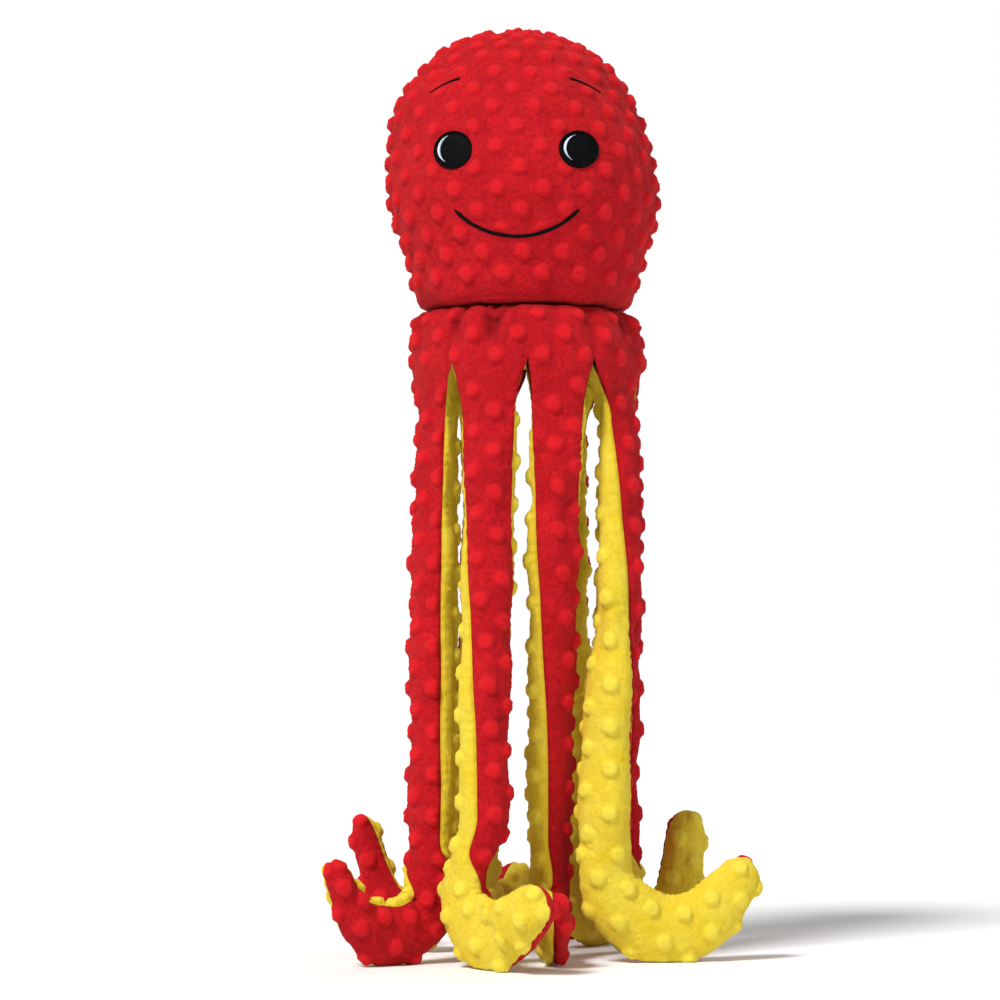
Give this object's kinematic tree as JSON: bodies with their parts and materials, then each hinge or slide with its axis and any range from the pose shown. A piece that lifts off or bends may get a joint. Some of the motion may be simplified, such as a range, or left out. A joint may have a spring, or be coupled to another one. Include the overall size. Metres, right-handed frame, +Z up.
{
  "type": "plush octopus toy",
  "caption": "Stuffed plush octopus with a round smiling head and long hooked arms, red outside and yellow inside, that stands on its feet.",
  "frame": {"origin": "floor, under the centre line of the head and of the ring of arms", "axes": "+Z up through the head, face towards -Y, +X to the viewer's right"},
  "size_m": [0.2543, 0.2686, 0.556],
  "materials": {
    "red_plush": "short pile with raised dots",
    "yellow_plush": "short pile with raised dots",
    "black_thread": "satin stitch",
    "white_thread": "satin stitch",
    "stuffing": "loose polyester fibre"
  },
  "bodies": {
    "skirt": {"skirt_band": "red_plush", "skirt_floor": "yellow_plush", "skirt_stuffing": "stuffing"},
    "head": {"head_front_panel": "red_plush", "head_back_left_panel": "red_plush", "head_back_right_panel": "red_plush", "head_base_disc": "red_plush", "head_stuffing": "stuffing", "left_eye": "black_thread", "right_eye": "black_thread", "left_eye_rim": "black_thread", "right_eye_rim": "black_thread", "left_eye_glint": "white_thread", "right_eye_glint": "white_thread", "left_brow": "black_thread", "right_brow": "black_thread", "smile": "black_thread"},
    "front_left_arm": {"front_left_arm_face": "red_plush", "front_left_arm_lining": "yellow_plush", "front_left_arm_stuffing": "stuffing"},
    "front_right_arm": {"front_right_arm_face": "red_plush", "front_right_arm_lining": "yellow_plush", "front_right_arm_stuffing": "stuffing"},
    "right_front_arm": {"right_front_arm_face": "red_plush", "right_front_arm_lining": "yellow_plush", "right_front_arm_stuffing": "stuffing"},
    "right_back_arm": {"right_back_arm_face": "red_plush", "right_back_arm_lining": "yellow_plush", "right_back_arm_stuffing": "stuffing"},
    "back_right_arm": {"back_right_arm_face": "red_plush", "back_right_arm_lining": "yellow_plush", "back_right_arm_stuffing": "stuffing"},
    "back_left_arm": {"back_left_arm_face": "red_plush", "back_left_arm_lining": "yellow_plush", "back_left_arm_stuffing": "stuffing"},
    "left_back_arm": {"left_back_arm_face": "red_plush", "left_back_arm_lining": "yellow_plush", "left_back_arm_stuffing": "stuffing"},
    "left_front_arm": {"left_front_arm_face": "red_plush", "left_front_arm_lining": "yellow_plush", "left_front_arm_stuffing": "stuffing"}
  },
  "joints": [
    {"name": "head_turn", "type": "hinge", "parent": "skirt", "child": "head", "pos_m": [0, 0, 0.3845], "axis": [0, 0, 1], "range_deg": [-25, 25], "stiffness_Nm_per_rad": 0.4},
    {"name": "front_left_swing", "type": "hinge", "parent": "skirt", "child": "front_left_arm", "pos_m": [-0.01915, -0.05262, 0.344], "axis": [-0.9397, 0.342, 0], "range_deg": [0, 70], "stiffness_Nm_per_rad": 0.5},
    {"name": "front_right_swing", "type": "hinge", "parent": "skirt", "child": "front_right_arm", "pos_m": [0.01915, -0.05262, 0.344], "axis": [-1, 0, 0], "range_deg": [0, 70], "stiffness_Nm_per_rad": 0.5},
    {"name": "right_front_swing", "type": "hinge", "parent": "skirt", "child": "right_front_arm", "pos_m": [0.04945, -0.02629, 0.344], "axis": [-0.4695, -0.8829, 0], "range_deg": [0, 70], "stiffness_Nm_per_rad": 0.5},
    {"name": "right_back_swing", "type": "hinge", "parent": "skirt", "child": "right_back_arm", "pos_m": [0.05262, 0.01915, 0.344], "axis": [0.342, -0.9397, 0], "range_deg": [0, 70], "stiffness_Nm_per_rad": 0.5},
    {"name": "back_right_swing", "type": "hinge", "parent": "skirt", "child": "back_right_arm", "pos_m": [0.02188, 0.05155, 0.344], "axis": [0.9205, -0.3907, 0], "range_deg": [0, 70], "stiffness_Nm_per_rad": 0.5},
    {"name": "back_left_swing", "type": "hinge", "parent": "skirt", "child": "back_left_arm", "pos_m": [-0.02188, 0.05155, 0.344], "axis": [0.9205, 0.3907, 0], "range_deg": [0, 70], "stiffness_Nm_per_rad": 0.5},
    {"name": "left_back_swing", "type": "hinge", "parent": "skirt", "child": "left_back_arm", "pos_m": [-0.05262, 0.01915, 0.344], "axis": [0.342, 0.9397, 0], "range_deg": [0, 70], "stiffness_Nm_per_rad": 0.5},
    {"name": "left_front_swing", "type": "hinge", "parent": "skirt", "child": "left_front_arm", "pos_m": [-0.0499, -0.02542, 0.344], "axis": [-0.454, 0.891, 0], "range_deg": [0, 70], "stiffness_Nm_per_rad": 0.5}
  ],
  "couplings": [
    {"joint": "front_right_swing", "follows": "front_left_swing", "ratio": 1}
  ]
}
